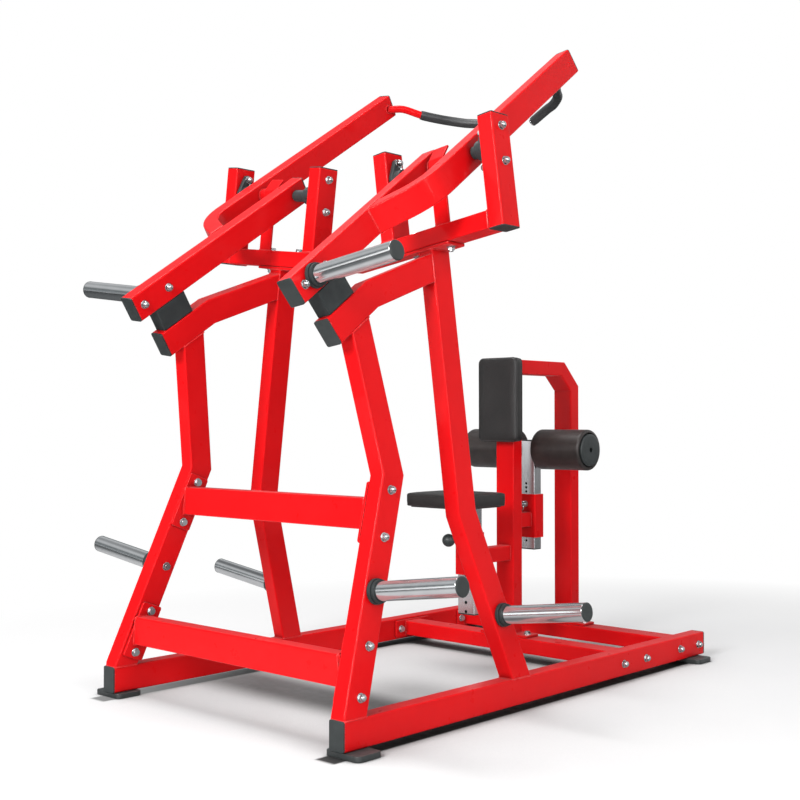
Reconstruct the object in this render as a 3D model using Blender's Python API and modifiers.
"""Plate-loaded front pulldown machine: leaned side frames on two floor rails, a V beam with
pivot posts, two independent swing arms, a seat, a chest pad and an adjustable roller hold-down.

Metres. +X is the machine's right side, +Y runs from the weight horns to the seat, +Z is up.
Dimensions count y from the rear end of the rails; the world origin is the footprint's middle.
Each side frame leans in. Its own axes are "across" (outwards), y and "up" (along the lean);
names ending in ACROSS or UP are measured on them, for the right side."""

import math
from collections import namedtuple

import bmesh
import bpy
from mathutils import Matrix, Vector


def span(low, size):
    return (low, low + size)


def both(half):
    return (-half, half)


def widened(ends, margin):
    return (ends[0] - margin, ends[1] + margin)


def middle(ends):
    return (ends[0] + ends[1]) / 2


# ---- dimensions shared between sections -----------------------------------------------------
GAP = 0.0003  # between pieces that touch
CENTRE_Y = 0.8371  # middle of the overall length
LEAN = math.radians(7.6)
LEAN_COS, LEAN_SIN = math.cos(LEAN), math.sin(LEAN)
TUBE_W, TUBE_D = 0.050, 0.076  # side frame and arm tube
EDGE = 0.004  # corner radius of the square tube
END_CAP = 0.005  # thickness of the plastic tube caps
PLATE_EDGE = 0.006  # corner radius of the welded plates
BORE_PAST = 0.02  # how far a cutting shape runs past the piece it cuts
RUNNING_GAP = 0.0004  # between a shaft and its bore

RAIL_X, RAIL_Y, RAIL_Z = span(0.450, TUBE_W), (0.0, 1.720), (0.015, 0.090)
FRAME_ACROSS = span(0.457, TUBE_W)
FRONT_Y = span(0.5005, TUBE_D)  # front upright, V beam and posts
FLANGE_UP = (1.2297, 1.2377)  # plate on the front upright, under the V beam
BEAM_UP = span(FLANGE_UP[1] + GAP, TUBE_W)  # outer end of the V beam
POST_TOP_UP = 1.546
POST_INNER_ACROSS, POST_OUTER_ACROSS = span(0.317, TUBE_W), span(0.711, TUBE_W)

PIVOT_ACROSS, PIVOT_Y, PIVOT_UP = 0.536, middle(FRONT_Y), 1.4645
ARM_SLOPE = math.radians(35.3)
SHAFT_R = 0.0125
SHAFT_BORE_R = SHAFT_R + RUNNING_GAP

HORN_R, HORN_END_ACROSS = 0.025, 0.793  # weight horns and storage pegs
COLLAR_R, COLLAR_STEP_R = 0.0325, 0.0290
COLLAR_STEP, COLLAR_LENGTH = 0.012, 0.020
COLLAR_PROFILE = (  # radius, distance from the side frame
    (HORN_R + GAP, 0.0),
    (COLLAR_R, 0.0),
    (COLLAR_R, COLLAR_STEP),
    (COLLAR_STEP_R, COLLAR_STEP),
    (COLLAR_STEP_R, COLLAR_LENGTH),
    (HORN_R + GAP, COLLAR_LENGTH),
)
COLLAR_SIDES = 24

# ---- materials ------------------------------------------------------------------------------
Look = namedtuple("Look", "colour roughness metallic")
RED = Look(colour=(0.62, 0.010, 0.014), roughness=0.30, metallic=0.0)
CHROME = Look(colour=(0.80, 0.80, 0.81), roughness=0.10, metallic=1.0)
STEEL = Look(colour=(0.45, 0.45, 0.46), roughness=0.30, metallic=1.0)
CAST = Look(colour=(0.055, 0.060, 0.062), roughness=0.50, metallic=0.0)
PLASTIC = Look(colour=(0.032, 0.038, 0.038), roughness=0.45, metallic=0.0)
RUBBER = Look(colour=(0.025, 0.026, 0.027), roughness=0.70, metallic=0.0)
LEATHER = Look(colour=(0.030, 0.028, 0.028), roughness=0.55, metallic=0.0)


def material_of(name, look):
    material = bpy.data.materials.new(name)
    material.use_nodes = True
    inputs = material.node_tree.nodes["Principled BSDF"].inputs
    inputs["Base Color"].default_value = (*look.colour, 1.0)
    inputs["Roughness"].default_value = look.roughness
    inputs["Metallic"].default_value = look.metallic
    return material


# ---- mesh helpers ---------------------------------------------------------------------------
WELD = 0.00001
AXIS_TURN = {  # turns +Z onto the named axis
    "x": Matrix.Rotation(math.pi / 2, 4, "Y"),
    "y": Matrix.Rotation(-math.pi / 2, 4, "X"),
}
PLANES = {  # where an outline's own x, y and thickness axes go
    "yz": ((0, 1, 0), (0, 0, 1), (1, 0, 0)),
    "xz": ((1, 0, 0), (0, 0, 1), (0, -1, 0)),
    "xy": ((1, 0, 0), (0, 1, 0), (0, 0, 1)),
}


def scratch(data):
    obj = bpy.data.objects.new("scratch", data)
    bpy.context.scene.collection.objects.link(obj)
    return obj


def baked(obj):
    """The evaluated mesh of a helper object, welded and facing out. The helper is removed."""
    bpy.context.view_layer.update()
    graph = bpy.context.evaluated_depsgraph_get()
    mesh = bpy.data.meshes.new_from_object(obj.evaluated_get(graph))
    mesh.transform(obj.matrix_world)
    bpy.data.objects.remove(obj, do_unlink=True)
    bm = bmesh.new()
    bm.from_mesh(mesh)
    bmesh.ops.remove_doubles(bm, verts=bm.verts, dist=WELD)
    bmesh.ops.recalc_face_normals(bm, faces=bm.faces)
    return mesh_from(bm, mesh)


def mesh_from(bm, mesh=None):
    """Writes a bmesh to a mesh, a new one unless given, and frees it."""
    mesh = mesh or bpy.data.meshes.new("piece")
    bm.to_mesh(mesh)
    bm.free()
    return mesh


def moved(mesh, matrix):
    mesh.transform(matrix)
    return mesh


def combined(first, others, operation):
    """Boolean of helper meshes, all in one local frame."""
    base = scratch(first)
    tools = [scratch(mesh) for mesh in others]
    for tool in tools:
        step = base.modifiers.new(operation, "BOOLEAN")
        step.operation, step.solver, step.object = operation, "EXACT", tool
    mesh = baked(base)
    for tool in tools:
        bpy.data.objects.remove(tool, do_unlink=True)
    return mesh


def joined(first, *others):
    return combined(first, others, "UNION")


def cut(first, *others):
    return combined(first, others, "DIFFERENCE")


def poly_curve(points, dimensions):
    """A curve with one straight-sided line through 3D points."""
    curve = bpy.data.curves.new("line", "CURVE")
    curve.dimensions = dimensions
    line = curve.splines.new("POLY")
    line.points.add(len(points) - 1)
    for point, position in zip(line.points, points):
        point.co = (*position, 1.0)
    return curve


def slab(outline, thickness, radius=EDGE, plane="yz"):
    """A flat outline given thickness over a span of the third axis, its two rims rounded."""
    low, high = thickness
    curve = poly_curve([(*point, 0.0) for point in outline], "2D")
    curve.fill_mode = "BOTH"
    curve.extrude = (high - low) / 2 - radius
    curve.bevel_depth, curve.bevel_resolution = radius, 1
    curve.offset = -radius
    curve.splines[0].use_cyclic_u = True
    axes = PLANES[plane]
    shift = Vector([abs(part) * middle(thickness) for part in axes[2]])
    turn = Matrix(axes).transposed().to_4x4()
    return moved(baked(scratch(curve)), Matrix.Translation(shift) @ turn)


def tube(points, radius):
    curve = poly_curve(points, "3D")
    curve.use_fill_caps = True
    curve.bevel_depth, curve.bevel_resolution = radius, 4
    return baked(scratch(curve))


def box(x_ends, y_ends, z_ends, radius=0.0, along="xyz", steps=2):
    """A box with its edges along the named axes rounded."""
    low, high = (Vector(corner) for corner in zip(x_ends, y_ends, z_ends))
    place = Matrix.Translation((high + low) / 2) @ Matrix.Diagonal((*(high - low), 1.0))
    bm = bmesh.new()
    bmesh.ops.create_cube(bm, size=1.0)
    bmesh.ops.transform(bm, matrix=place, verts=bm.verts)
    if radius:
        edges = []
        for edge in bm.edges:
            line = (edge.verts[1].co - edge.verts[0].co).normalized()
            if any(abs(line["xyz".index(axis)]) > 0.9 for axis in along):
                edges.append(edge)
        bmesh.ops.bevel(
            bm,
            geom=edges,
            offset=radius,
            segments=steps,
            profile=0.5,
            affect="EDGES",
            clamp_overlap=True,
        )
    return mesh_from(bm)


def rod(ends, radius, sides=32, axis="x", centre=(0, 0, 0)):
    """A round bar along an axis, between two places on that axis."""
    low, high = ends
    bm = bmesh.new()
    bmesh.ops.create_cone(
        bm, cap_ends=True, segments=sides, radius1=radius, radius2=radius, depth=high - low
    )
    at = Vector(centre)
    at["xyz".index(axis)] = middle(ends)
    bmesh.ops.transform(bm, matrix=Matrix.Translation(at) @ AXIS_TURN[axis], verts=bm.verts)
    return mesh_from(bm)


def turned(profile, sides):
    """A closed profile of (radius, height) pairs turned about the x axis."""
    bm = bmesh.new()
    points = [bm.verts.new((radius, 0.0, height)) for radius, height in profile]
    for start, end in zip(points, points[1:] + points[:1]):
        bm.edges.new((start, end))
    obj = scratch(mesh_from(bm))
    turn = obj.modifiers.new("turn", "SCREW")
    turn.steps = turn.render_steps = sides
    turn.use_merge_vertices, turn.merge_threshold = True, WELD
    return moved(baked(obj), AXIS_TURN["x"])


def mirrored(mesh):
    bm = bmesh.new()
    bm.from_mesh(mesh)
    bmesh.ops.transform(bm, matrix=Matrix.Diagonal((-1, 1, 1, 1)), verts=bm.verts)
    bmesh.ops.reverse_faces(bm, faces=bm.faces)
    return mesh_from(bm, mesh.copy())


# ---- placing --------------------------------------------------------------------------------
SHARP_ANGLE = math.radians(32)
SIDES = ((1, "right"), (-1, "left"))
IDENTITY = Matrix.Identity(4)

for old in list(bpy.data.objects):
    bpy.data.objects.remove(old, do_unlink=True)
PARTS = bpy.data.collections.new("front_pulldown_machine")
bpy.context.scene.collection.children.link(PARTS)


def add(name, data, place, parent):
    obj = bpy.data.objects.new(name, data)
    PARTS.objects.link(obj)
    obj.matrix_basis = place
    obj.parent = parent
    return obj


FLOOR_CENTRE = add("floor_centre", None, Matrix.Translation((0, -CENTRE_Y, 0)), None)


def node(name, mesh, look, place=IDENTITY, parent=FLOOR_CENTRE):
    """Adds one named piece. The mesh is in the frame that place gives."""
    mesh.materials.clear()
    mesh.materials.append(material_of(name, look))
    mesh.polygons.foreach_set("use_smooth", [True] * len(mesh.polygons))
    mesh.set_sharp_from_angle(angle=SHARP_ANGLE)
    mesh.name = name
    add(name, mesh, place, parent)


def leaned_xz(across, up):
    return (across * LEAN_COS - up * LEAN_SIN, across * LEAN_SIN + up * LEAN_COS)


def leaned_point(across, y, up):
    """Where a point of the right side's leaned frame is on the floor's axes."""
    x, z = leaned_xz(across, up)
    return Vector((x, y, z))


def side_place(side, at=(0, 0, 0), lean=LEAN, turn=0.0):
    """Frame of a side piece: side +1 right, -1 left; at is where the right one stands."""
    return (
        Matrix.Translation((side * at[0], at[1], at[2]))
        @ Matrix.Rotation(-side * lean, 4, "Y")
        @ Matrix.Rotation(turn, 4, "X")
    )


def side_ends(side, low, high):
    """A span of x on the right side, or its mirror image."""
    return sorted((side * low, side * high))


def pair(name, mesh, look, at=(0, 0, 0), lean=LEAN):
    """Right piece as built and left piece as its mirror image."""
    shapes = (mesh, mirrored(mesh))
    for shape, (side, word) in zip(shapes, SIDES):
        node(f"{name}_{word}", shape, look, side_place(side, at, lean))


def hung_pair(name, mesh, look, parents):
    """A mirrored pair, each in the frame of its own side's parent."""
    shapes = (mesh, mirrored(mesh))
    for shape, (side, word) in zip(shapes, SIDES):
        node(f"{name}_{word}", shape, look, parent=parents[side])


# ---- side frames ----------------------------------------------------------------------------
FOOT_X, FOOT_DEPTH, FOOT_EDGE = (0.431, 0.547), 0.085, 0.012
FOOT_Y = {"rear": 0.003, "front": 1.603}  # rear edge of each foot

FRAME_END_UP = 0.0201  # lower end of both uprights, inside the rail
FRAME_BACK_Y = 0.0058  # the rear upright's foot stops short of the rail's cap
REAR_BEND = (0.220, 0.610)  # y, up of the bend on the rear upright's rear edge
REAR_SLOPE, REAR_DEPTH = 0.3726, 0.0811  # y per up, and y depth, below the bend
FRONT_BEND_UP = (0.4875, 0.5003)  # bend on the front upright's rear and front edge
FRONT_SLOPE = -0.345  # y per up, below the bend
FRONT_LOW_EDGE_Y = 0.5809  # front edge of the lower length, carried up to FRONT_BEND_UP[0]
FLANGE_ACROSS, FLANGE_MARGIN = (0.397, 0.567), 0.0005
FLANGE_OVERLAP = 0.002  # the front upright runs this far into the flange

# upper and lower edge of the stop beam as (y, up), rear to front
STOP_TOP = ((0.068, 1.003), (0.229, 1.1155), (0.5005, 1.2159))
STOP_BOTTOM = ((0.1116, 0.9407), (0.2639, 1.0473), (0.5005, 1.1349))
STOP_ANGLE = math.radians(35.0)
STOP_ALONG = Vector((math.cos(STOP_ANGLE), math.sin(STOP_ANGLE)))
STOP_NORMAL = Vector((-STOP_ALONG.y, STOP_ALONG.x))
STOP_REAR_TOP, STOP_REAR_BOTTOM = Vector(STOP_TOP[0]), Vector(STOP_BOTTOM[0])
BUMPER_ALONG = (0.0211, 0.1340)  # from the beam's rear end


def side_frames():
    cap_back = STOP_ALONG * (END_CAP + GAP)
    rear_foot_y = REAR_BEND[0] + REAR_SLOPE * (FRAME_END_UP - REAR_BEND[1]) + REAR_DEPTH
    front_shift = FRONT_SLOPE * (FRAME_END_UP - FRONT_BEND_UP[0])
    upright_top = FLANGE_UP[0] + FLANGE_OVERLAP
    outline = [  # y, up
        (FRAME_BACK_Y, FRAME_END_UP),
        (rear_foot_y, FRAME_END_UP),
        (0.2984, 0.6029),
        (0.2243, 1.0196),
        STOP_BOTTOM[1],
        STOP_BOTTOM[2],
        (FRONT_Y[0], FRONT_BEND_UP[0]),
        (FRONT_Y[0] + front_shift, FRAME_END_UP),
        (FRONT_LOW_EDGE_Y + front_shift, FRAME_END_UP),
        (FRONT_Y[1], FRONT_BEND_UP[1]),
        (FRONT_Y[1], upright_top),
        (FRONT_Y[0], upright_top),
        STOP_TOP[2],
        STOP_TOP[1],
        tuple(STOP_REAR_TOP + cap_back),
        tuple(STOP_REAR_BOTTOM + cap_back),
        (0.1557, 0.9715),
        REAR_BEND,
        (FRAME_BACK_Y, REAR_BEND[1] - (REAR_BEND[0] - FRAME_BACK_Y) / REAR_SLOPE),
    ]
    leaned = moved(slab(outline, FRAME_ACROSS), side_place(1))
    flange = box(FLANGE_ACROSS, widened(FRONT_Y, FLANGE_MARGIN), FLANGE_UP, PLATE_EDGE, "z")
    rail = box(RAIL_X, widened(RAIL_Y, -END_CAP - GAP), RAIL_Z, EDGE, "y", 3)
    pair("side_frame", joined(rail, leaned, moved(flange, side_place(1))), RED, lean=0.0)


def rail_ends():
    for word, y in (("rear", RAIL_Y[0]), ("front", RAIL_Y[1] - END_CAP)):
        cap = box(both(TUBE_W / 2), (0, END_CAP), RAIL_Z, EDGE, "y", 3)
        pair(f"rail_cap_{word}", cap, PLASTIC, (middle(RAIL_X), y, 0), 0.0)
    for word, y in FOOT_Y.items():
        foot = box(FOOT_X, (0, FOOT_DEPTH), (0, RAIL_Z[0] - GAP), FOOT_EDGE, "z", 4)
        pair(f"foot_{word}", foot, RUBBER, (0, y, 0), 0.0)


def stop_beam_cap():
    ends = (STOP_REAR_TOP, STOP_REAR_BOTTOM)
    front = [end + STOP_ALONG * END_CAP for end in reversed(ends)]
    pair("stop_beam_cap", slab([*ends, *front], FRAME_ACROSS, radius=0.001), PLASTIC)


def bumper():
    """Rubber block between the stop beam and the resting weight bar."""
    lower, upper = [], []
    for along in BUMPER_ALONG:
        base = STOP_REAR_TOP + STOP_ALONG * along
        from_arm = -(base[0] - PIVOT_Y) * math.sin(ARM_SLOPE) + (
            base[1] - PIVOT_UP
        ) * math.cos(ARM_SLOPE)
        lower.append(base + STOP_NORMAL * GAP)
        upper.append(base + STOP_NORMAL * (-TUBE_D / 2 - GAP - from_arm))
    pair("bumper", slab([*lower, *reversed(upper)], FRAME_ACROSS, radius=0.003), RUBBER)


# ---- storage pegs ---------------------------------------------------------------------------
PEG_CENTRES = {"rear": (0.151, 0.317), "front": (0.641, 0.203)}  # y, up


def storage_pegs():
    for word, (y, up) in PEG_CENTRES.items():
        at = leaned_point(FRAME_ACROSS[1] + GAP, y, up)
        peg = rod((0.0, HORN_END_ACROSS - FRAME_ACROSS[1] - GAP), HORN_R)
        pair(f"storage_peg_{word}", peg, CHROME, at)
        pair(f"storage_collar_{word}", turned(COLLAR_PROFILE, COLLAR_SIDES), RUBBER, at)


# ---- crossbars ------------------------------------------------------------------------------
CROSS_PLATE = 0.008  # end plates; each bar ends halfway through them
REAR_CROSS_HEIGHT = 0.081
REAR_CROSSBARS = (  # name, rear face y, underside z, (y, up) of the end plates' centre
    ("upper", 0.198, 0.527, (0.220, 0.508)),
    ("lower", 0.057, 0.152, (0.087, 0.129)),
)
REAR_PLATE_HALF_Y, REAR_PLATE_HALF_UP = 0.035, 0.082
REAR_PLATE_TILT = math.radians(-20.4)  # follows the rear upright's slope
CROSS_Z, CROSS_PLATE_MARGIN = span(0.028, TUBE_W), 0.005
FLOOR_CROSSBARS = (  # name, y of the bar, y of its end plates
    ("seat", (1.245, 1.325), (1.195, 1.375)),
    ("front", (1.580, 1.660), (1.540, 1.700)),
)


def rear_crossbars():
    frame_face = FRAME_ACROSS[0] - GAP
    for word, y, z, centre in REAR_CROSSBARS:
        z_low, z_high = span(z, REAR_CROSS_HEIGHT)
        half_low, half_high = (
            (frame_face - CROSS_PLATE / 2 - level * LEAN_SIN) / LEAN_COS
            for level in (z_low, z_high)
        )
        outline = [(-half_low, z_low), (half_low, z_low), (half_high, z_high), (-half_high, z_high)]
        bar = slab(outline, span(y, TUBE_W), plane="xz")
        plates = []
        for side, _ in SIDES:
            plate = box(
                side_ends(side, -CROSS_PLATE, 0.0),
                both(REAR_PLATE_HALF_Y),
                both(REAR_PLATE_HALF_UP),
                PLATE_EDGE,
                "x",
            )
            at = leaned_point(frame_face, *centre)
            plates.append(moved(plate, side_place(side, at, LEAN, REAR_PLATE_TILT)))
        node(f"rear_crossbar_{word}", joined(bar, *plates), RED)


def floor_crossbars():
    end = RAIL_X[0] - GAP
    for word, bar_y, plate_y in FLOOR_CROSSBARS:
        bar = box(both(end - CROSS_PLATE / 2), bar_y, CROSS_Z, EDGE, "x", 3)
        plate_z = widened(CROSS_Z, CROSS_PLATE_MARGIN)
        plates = [
            box(side_ends(side, end - CROSS_PLATE, end), plate_y, plate_z, PLATE_EDGE, "x")
            for side, _ in SIDES
        ]
        node(f"{word}_crossbar", joined(bar, *plates), RED)


# ---- V beam, pivot posts and stop brackets --------------------------------------------------
POST_CAP = 0.003
BRACKET_ACROSS = (0.522, 0.574)
BRACKET_HALF = 0.003  # half its thickness
BRACKET_BEND, BRACKET_TIP = Vector((0.510, 1.478)), Vector((0.538, 1.512))  # y, up
BRACKET_MITRE = 0.0011  # how far the bend's faces sit above and below its centre
BRACKET_ROOT = 0.004  # depth inside the beam
BRACKET_EDGE = 0.0008


def stop_brackets():
    tip_along = (BRACKET_TIP - BRACKET_BEND).normalized()
    tip_half = Vector((-tip_along.y, tip_along.x)) * BRACKET_HALF
    rear_y, front_y = widened((BRACKET_BEND.x, BRACKET_BEND.x), BRACKET_HALF)
    outline = [
        (rear_y, BEAM_UP[1] - BRACKET_ROOT),
        (front_y, BEAM_UP[1] - BRACKET_ROOT),
        (front_y, BRACKET_BEND.y - BRACKET_MITRE),
        tuple(BRACKET_TIP - tip_half),
        tuple(BRACKET_TIP + tip_half),
        (rear_y, BRACKET_BEND.y + BRACKET_MITRE),
    ]
    return [
        moved(
            slab(outline, side_ends(side, *BRACKET_ACROSS), radius=BRACKET_EDGE),
            side_place(side),
        )
        for side, _ in SIDES
    ]


def pivot_frame():
    inner, outer = POST_INNER_ACROSS, POST_OUTER_ACROSS
    right_line = [
        leaned_xz(inner[0], BEAM_UP[1]),
        leaned_xz(inner[0], POST_TOP_UP),
        leaned_xz(inner[1], POST_TOP_UP),
        leaned_xz(inner[1], BEAM_UP[1]),
        leaned_xz(outer[0], BEAM_UP[1]),
        leaned_xz(outer[0], POST_TOP_UP),
        leaned_xz(outer[1], POST_TOP_UP),
        leaned_xz(outer[1], BEAM_UP[0]),
    ]
    outline = [
        (0.0, BEAM_UP[1] / LEAN_COS),
        *right_line,
        (0.0, BEAM_UP[0] / LEAN_COS),
        *[(-x, z) for x, z in reversed(right_line)],
    ]
    beam = slab(outline, FRONT_Y, plane="xz")
    node("pivot_frame", joined(beam, *stop_brackets()), RED)


def post_caps():
    top, bottom = POST_TOP_UP + GAP, BEAM_UP[0] - GAP - POST_CAP
    for name, across, up in (
        ("post_cap_inner", POST_INNER_ACROSS, top),
        ("post_cap_outer", POST_OUTER_ACROSS, top),
        ("post_foot_cap", POST_OUTER_ACROSS, bottom),
    ):
        pair(name, box(across, FRONT_Y, span(up, POST_CAP), EDGE, "z", 3), PLASTIC)


# ---- flange bearings ------------------------------------------------------------------------
BEARING_PLATE, BEARING_PLATE_EDGE = 0.0137, 0.002
PLATE_R, EAR_R, EAR_AT = 0.032, 0.0135, 0.049  # ears lie above and below the round middle
HUB_START, BEARING_HUB_R = 0.003, 0.028
NOSE_START, NOSE_R = 0.005, 0.018
BEARING_BORE_PAST = 0.01
BEARINGS = (  # name, post face, hub end and nose end across, direction away from the face
    ("inner", POST_INNER_ACROSS[1], 0.402, 0.4555, 1),
    ("outer", POST_OUTER_ACROSS[0], 0.680, 0.6615, -1),
)


def arc(centre_z, radius, start, end, steps):
    """Points (y, z) of an arc; angles run from +z towards +y."""
    angles = [start + (end - start) * k / steps for k in range(steps + 1)]
    return [(radius * math.sin(a), centre_z + radius * math.cos(a)) for a in angles]


def bearing_outline():
    touch = math.acos((PLATE_R - EAR_R) / EAR_AT)  # where the straight sides touch the arcs
    oval = [
        *arc(EAR_AT, EAR_R, -touch, touch, 6),
        *arc(0, PLATE_R, touch, math.pi - touch, 3),
        *arc(-EAR_AT, EAR_R, math.pi - touch, math.pi + touch, 6),
        *arc(0, PLATE_R, math.pi + touch, 2 * math.pi - touch, 3),
    ]
    return oval[::-1]


def pivot_bearings():
    for word, face, hub_end, nose_end, way in BEARINGS:
        start = face + way * GAP

        def from_face(first, last):
            return (min(first, last) - face, max(first, last) - face)

        plate = slab(
            bearing_outline(),
            from_face(start, start + way * BEARING_PLATE),
            radius=BEARING_PLATE_EDGE,
        )
        hub = rod(from_face(start + way * HUB_START, hub_end), BEARING_HUB_R, 24)
        nose = rod(from_face(start + way * NOSE_START, nose_end), NOSE_R, 24)
        past = way * BEARING_BORE_PAST
        bore = rod(from_face(face - past, nose_end + past), SHAFT_BORE_R, 24)
        at = leaned_point(face, PIVOT_Y, PIVOT_UP)
        pair(f"pivot_bearing_{word}", cut(joined(plate, hub, nose), bore), CAST, at)


# ---- swing arms -----------------------------------------------------------------------------
# Each arm and all it carries hangs on an empty at its pivot. In that frame x is across from
# the pivot, y runs along the arm towards the handle (ALONG) and z is square to both.
BAR_X = tuple(across - PIVOT_ACROSS for across in FRAME_ACROSS)  # weight bar
BAR_ALONG = (-0.689, 0.049)
HANDLE_ARM_ACROSS = span(0.610, TUBE_W)
HANDLE_ARM_X = tuple(across - PIVOT_ACROSS for across in HANDLE_ARM_ACROSS)
HANDLE_ARM_END = 0.674
BEND_START, BEND_R, BEND_TURN = -0.155, 0.115, math.radians(62.0)  # handle arm's rear bend
BEND_STEPS = 8
HUB_R, HUB_INSET = 0.021, 0.003
SHAFT_ACROSS = (0.372, 0.706)
HORN_ALONG = -0.612

ROD_R, GRIP_R, GRIP_BORE_GAP = 0.0125, 0.0160, 0.0008
GRIP_PAST, GRIP_BORE_PAST = 0.002, 0.004  # grip past the rod, its bore past the grip
PATH_STEPS = 2  # steps of the smoothed line between given points
HANDLE_ROOT = (HANDLE_ARM_X[0] + 0.006, 0.644, 0.0)  # in the arm's frame, inside its tube
HANDLE = (  # x, y, z of the rest of the right handle's centre line, on the floor's axes
    (0.362, 1.075, 1.901), (0.330, 1.110, 1.903), (0.290, 1.158, 1.885),
    (0.260, 1.205, 1.876), (0.235, 1.247, 1.871), (0.190, 1.285, 1.862),
    (0.150, 1.306, 1.857), (0.112, 1.319, 1.846), (0.075, 1.327, 1.832),
)
GRIP_FIRST = 3  # the grip runs from this point, counting the root as 0, to the end


def arm_place(side):
    at = leaned_point(PIVOT_ACROSS, PIVOT_Y, PIVOT_UP)
    return side_place(side, at, LEAN, ARM_SLOPE)


def smooth_path(points):
    """Points along a smooth line through the given ones."""
    found = []
    ends = [points[0], *points, points[-1]]
    for i in range(1, len(ends) - 2):
        before, start, end, after = ends[i - 1 : i + 3]
        for k in range(PATH_STEPS):
            t = k / PATH_STEPS
            found.append(
                0.5
                * (
                    2 * start
                    + (end - before) * t
                    + (2 * before - 5 * start + 4 * end - after) * t**2
                    + (3 * start - before - 3 * end + after) * t**3
                )
            )
    return [*found, points[-1]]


def handle_path():
    to_arm = arm_place(1).inverted()
    return smooth_path([Vector(HANDLE_ROOT), *[to_arm @ Vector(point) for point in HANDLE]])


def bend_line(radius):
    """One side of the handle arm's bend, carried straight on to the weight bar's outer face."""
    centre = middle(HANDLE_ARM_ACROSS) - BEND_R
    points = []
    for k in range(BEND_STEPS + 1):
        angle = BEND_TURN * k / BEND_STEPS
        x = centre + radius * math.cos(angle) - PIVOT_ACROSS
        points.append((x, BEND_START - radius * math.sin(angle)))
    x, y = points[-1]
    return [*points, (BAR_X[1], y - (x - BAR_X[1]) / math.tan(BEND_TURN))]


def arm():
    bar_rear = BAR_ALONG[0] + END_CAP + GAP
    outline = [
        (BAR_X[0], bar_rear),
        (BAR_X[0], BAR_ALONG[1]),
        (BAR_X[1], BAR_ALONG[1]),
        *reversed(bend_line(BEND_R - TUBE_W / 2)),
        (HANDLE_ARM_X[0], HANDLE_ARM_END),
        (HANDLE_ARM_X[1], HANDLE_ARM_END),
        *bend_line(BEND_R + TUBE_W / 2),
        (BAR_X[1], bar_rear),
    ]
    body = slab(outline[::-1], both(TUBE_D / 2), plane="xy")
    hub = rod(widened((BAR_X[1], HANDLE_ARM_X[0]), HUB_INSET), HUB_R, 24)
    bore = rod(widened((BAR_X[0], HANDLE_ARM_X[1]), BORE_PAST), SHAFT_BORE_R, 24)
    return cut(joined(body, hub, tube(handle_path(), ROD_R)), bore)


def handle_grip():
    path = handle_path()
    first = GRIP_FIRST * PATH_STEPS
    forward = (path[-1] - path[-2]).normalized()
    end = path[-1] + forward * GRIP_PAST
    bore_path = [*path[first - 2 : -1], end + forward * GRIP_BORE_PAST]
    bore = tube(bore_path, ROD_R + GRIP_BORE_GAP)
    return cut(tube([*path[first:-1], end], GRIP_R), bore)


def swing_arms():
    pivots = {
        side: add(f"{word}_arm_pivot", None, arm_place(side), FLOOR_CENTRE)
        for side, word in SIDES
    }
    shaft_ends = tuple(across - PIVOT_ACROSS for across in SHAFT_ACROSS)
    horn_start = BAR_X[1] + GAP
    horn = rod(
        (horn_start, HORN_END_ACROSS - PIVOT_ACROSS), HORN_R, centre=(0, HORN_ALONG, 0)
    )
    collar = turned(COLLAR_PROFILE, COLLAR_SIDES)
    collar = moved(collar, Matrix.Translation((horn_start, HORN_ALONG, 0)))
    cap = box(BAR_X, span(BAR_ALONG[0], END_CAP), both(TUBE_D / 2), EDGE, "y", 3)
    hung_pair("arm", arm(), RED, pivots)
    hung_pair("handle_grip", handle_grip(), RUBBER, pivots)
    hung_pair("pivot_shaft", rod(shaft_ends, SHAFT_R, 24), STEEL, pivots)
    hung_pair("weight_horn", horn, CHROME, pivots)
    hung_pair("horn_collar", collar, RUBBER, pivots)
    hung_pair("arm_cap_rear", cap, PLASTIC, pivots)


# ---- pad frame ------------------------------------------------------------------------------
PAD_FRAME_HALF_X = 0.0375
PAD_POST_Y, FAR_POST_Y = span(1.263, TUBE_W), span(1.602, TUBE_W)
TOP_TUBE_Z = (0.967, 1.016)
PAD_FOOT = 0.008  # thickness of the foot plates
PAD_FOOT_HALF_X = 0.100
PAD_FEET_Y = ((1.249, 1.3215), (1.5845, 1.6575))
POST_INSET = 0.003  # the posts end this far above the plates' undersides
SLEEVE_HALF_X, SLEEVE_EDGE = 0.042, 0.005
POST_HALF_X, POST_EDGE, SLIDE_GAP = 0.035, 0.003, 0.0005  # sliding posts

SEAT_SLEEVE_Y, SEAT_SLEEVE_Z = (1.050, 1.103), (0.300, 0.440)
SEAT_POST_Y, SEAT_POST_Z = (1.056, 1.098), (0.170, 0.526)
SEAT_LINK_Y, SEAT_LINK_Z = (1.1005, 1.267), span(0.333, TUBE_W)
SEAT_PIN_Z = 0.420
SEAT_BOSS_Y, SEAT_BOSS_R = (1.012, 1.053), 0.015
SEAT_PIN_BORE_Y, SEAT_PIN_BORE_R = (1.000, 1.0575), 0.0055

ROLLER_SLEEVE_Y, ROLLER_SLEEVE_Z = (1.380, 1.431), (0.402, 0.552)
ROLLER_POST_Y, ROLLER_POST_Z = (1.385, 1.425), (0.360, 0.740)
ROLLER_LINK_Y, ROLLER_LINK_Z = (1.309, 1.383), span(0.440, TUBE_W)
ROLLER_PIN_Z = 0.518
ROLLER_BOSS_Y, ROLLER_BOSS_R = (1.364, 1.383), 0.011
ROLLER_PIN_BORE_Y, ROLLER_PIN_BORE_R = (1.355, 1.3865), 0.0045

# x, y and z ends of the upholstery, and its corner radius
CHEST, CHEST_EDGE = ((-0.085, 0.085), (1.218, 1.2627), (0.734, 1.022)), 0.016
SEAT, SEAT_EDGE = ((-0.126, 0.126), (0.895, 1.116), (0.5263, 0.572)), 0.017


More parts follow.
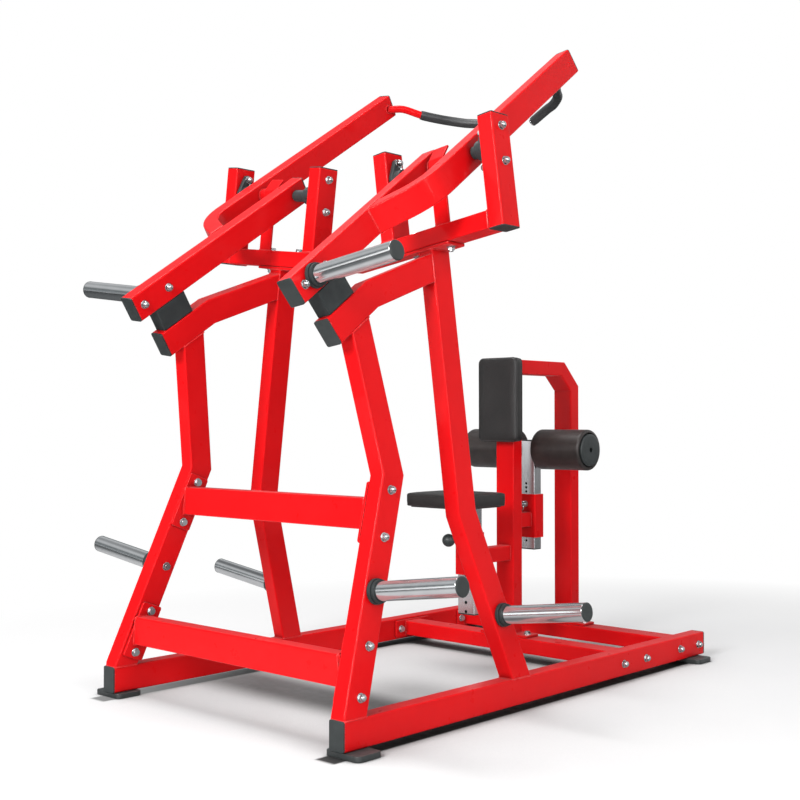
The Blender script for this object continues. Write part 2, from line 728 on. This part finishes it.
def link(y_ends, z_ends):
    return box(both(TUBE_W / 2), y_ends, z_ends, EDGE, "y")


def sleeve(y_ends, z_ends):
    return box(both(SLEEVE_HALF_X), y_ends, z_ends, SLEEVE_EDGE, "z", 3)


def sleeve_bore(post_y, sleeve_z):
    x_ends = both(POST_HALF_X + SLIDE_GAP)
    return box(x_ends, widened(post_y, SLIDE_GAP), widened(sleeve_z, BORE_PAST))


def sliding_post(y_ends, z_ends):
    return box(both(POST_HALF_X), y_ends, z_ends, POST_EDGE, "z")


def pin_rod(y_ends, radius, z, sides=20):
    return rod(y_ends, radius, sides, "y", (0, 0, z))


def pad_frame():
    foot_z = CROSS_Z[1] + GAP
    post_z = foot_z + POST_INSET
    outline = [  # y, z
        (PAD_POST_Y[0], post_z),
        (PAD_POST_Y[1], post_z),
        (PAD_POST_Y[1], TOP_TUBE_Z[0]),
        (1.545, TOP_TUBE_Z[0]),
        (FAR_POST_Y[0], 0.915),
        (FAR_POST_Y[0], post_z),
        (FAR_POST_Y[1], post_z),
        (FAR_POST_Y[1], 0.933),
        (1.566, TOP_TUBE_Z[1]),
        (PAD_POST_Y[0], TOP_TUBE_Z[1]),
    ]
    feet = [
        box(both(PAD_FOOT_HALF_X), foot_y, span(foot_z, PAD_FOOT), PLATE_EDGE, "z")
        for foot_y in PAD_FEET_Y
    ]
    frame = joined(
        slab(outline, both(PAD_FRAME_HALF_X)),
        *feet,
        link(SEAT_LINK_Y, SEAT_LINK_Z),
        sleeve(SEAT_SLEEVE_Y, SEAT_SLEEVE_Z),
        link(ROLLER_LINK_Y, ROLLER_LINK_Z),
        sleeve(ROLLER_SLEEVE_Y, ROLLER_SLEEVE_Z),
        pin_rod(SEAT_BOSS_Y, SEAT_BOSS_R, SEAT_PIN_Z, 28),
        pin_rod(ROLLER_BOSS_Y, ROLLER_BOSS_R, ROLLER_PIN_Z, 24),
    )
    frame = cut(
        frame,
        sleeve_bore(SEAT_POST_Y, SEAT_SLEEVE_Z),
        sleeve_bore(ROLLER_POST_Y, ROLLER_SLEEVE_Z),
        pin_rod(SEAT_PIN_BORE_Y, SEAT_PIN_BORE_R, SEAT_PIN_Z),
        pin_rod(ROLLER_PIN_BORE_Y, ROLLER_PIN_BORE_R, ROLLER_PIN_Z),
    )
    node("pad_frame", frame, RED)
    node("chest_pad", box(*CHEST, CHEST_EDGE, "xyz", 3), LEATHER)


# ---- seat -----------------------------------------------------------------------------------
SEAT_PIN_Y, SEAT_PIN_R = (0.975, 1.0535), 0.005
KNOB_Y, KNOB_R, KNOB_STEPS = 0.969, 0.021, 10  # ball on the pin's rear end
ROUND_Y = Matrix.Rotation(math.pi / 2, 4, "Z")  # turns a shape from about x to about y


def seat():
    place = Matrix.Translation((0, middle(SEAT_POST_Y), SEAT_POST_Z[1]))
    slide = add("seat_slide", None, place, FLOOR_CENTRE)
    for name, mesh, look in (
        ("seat_cushion", box(*SEAT, SEAT_EDGE, "xyz", 3), LEATHER),
        ("seat_post", sliding_post(SEAT_POST_Y, SEAT_POST_Z), CHROME),
    ):
        node(name, moved(mesh, place.inverted()), look, parent=slide)


def seat_pin():
    angles = [math.pi * k / KNOB_STEPS for k in range(KNOB_STEPS + 1)]
    knob = turned([(KNOB_R * math.sin(a), KNOB_R * -math.cos(a)) for a in angles], 20)
    place = Matrix.Translation((0, KNOB_Y, SEAT_PIN_Z))
    pin = joined(pin_rod(SEAT_PIN_Y, SEAT_PIN_R, SEAT_PIN_Z), moved(knob, place @ ROUND_Y))
    node("seat_pin", moved(pin, place.inverted()), PLASTIC, place)


# ---- roller hold-down -----------------------------------------------------------------------
ROLLER_Y, ROLLER_Z = middle(ROLLER_POST_Y), 0.708
ROLLER_X, ROLLER_R = (0.054, 0.249), 0.069
ROLLER_EDGE, ROLLER_EDGE_MID = 0.006, 0.0018  # rim rounding and the inset of its middle point
AXLE_R, AXLE_HALF_X = 0.0125, 0.245
ROLLER_BORE_R = AXLE_R + 0.001
AXLE_BORE_HALF_X = 0.06
ROLLER_PIN_Y, ROLLER_PIN_R = (1.350, 1.3820), 0.004
RING_Y, RING_R, RING_WIRE_R, RING_STEPS = 1.3545, 0.011, 0.0018, 6  # hangs on the pin


def roller_hold_down():
    place = Matrix.Translation((0, ROLLER_Y, ROLLER_Z))
    slide = add("roller_slide", None, place, FLOOR_CENTRE)
    centre = (0, ROLLER_Y, ROLLER_Z)
    axle_bore = rod(both(AXLE_BORE_HALF_X), AXLE_R + RUNNING_GAP, centre=centre)
    post = cut(sliding_post(ROLLER_POST_Y, ROLLER_POST_Z), axle_bore)
    axle = rod(both(AXLE_HALF_X), AXLE_R, centre=centre)
    for name, mesh in (("roller_post", post), ("roller_axle", axle)):
        node(name, moved(mesh, place.inverted()), CHROME, parent=slide)

    length = ROLLER_X[1] - ROLLER_X[0]
    profile = (
        (ROLLER_BORE_R, 0.0),
        (ROLLER_R - ROLLER_EDGE, 0.0),
        (ROLLER_R - ROLLER_EDGE_MID, ROLLER_EDGE_MID),
        (ROLLER_R, ROLLER_EDGE),
        (ROLLER_R, length - ROLLER_EDGE),
        (ROLLER_R - ROLLER_EDGE_MID, length - ROLLER_EDGE_MID),
        (ROLLER_R - ROLLER_EDGE, length),
        (ROLLER_BORE_R, length),
    )
    roller = moved(turned(profile, 32), Matrix.Translation((ROLLER_X[0], 0, 0)))
    hung_pair("foam_roller", roller, RUBBER, {1: slide, -1: slide})


def roller_pin():
    angles = [math.tau * k / RING_STEPS for k in range(RING_STEPS)]
    ring = turned(
        [(RING_R + RING_WIRE_R * math.cos(a), RING_WIRE_R * math.sin(a)) for a in angles], 20
    )
    ring_place = Matrix.Translation((0, RING_Y, ROLLER_PIN_Z - RING_R)) @ ROUND_Y
    bar = pin_rod(ROLLER_PIN_Y, ROLLER_PIN_R, ROLLER_PIN_Z)
    pin = joined(bar, moved(ring, ring_place))
    place = Matrix.Translation((0, RING_Y, ROLLER_PIN_Z))
    node("roller_pin", moved(pin, place.inverted()), STEEL, place)


for build in (
    side_frames, rail_ends, stop_beam_cap, bumper, storage_pegs,
    rear_crossbars, floor_crossbars, pivot_frame, post_caps, pivot_bearings,
    swing_arms, pad_frame, seat, seat_pin, roller_hold_down, roller_pin,
):
    build()
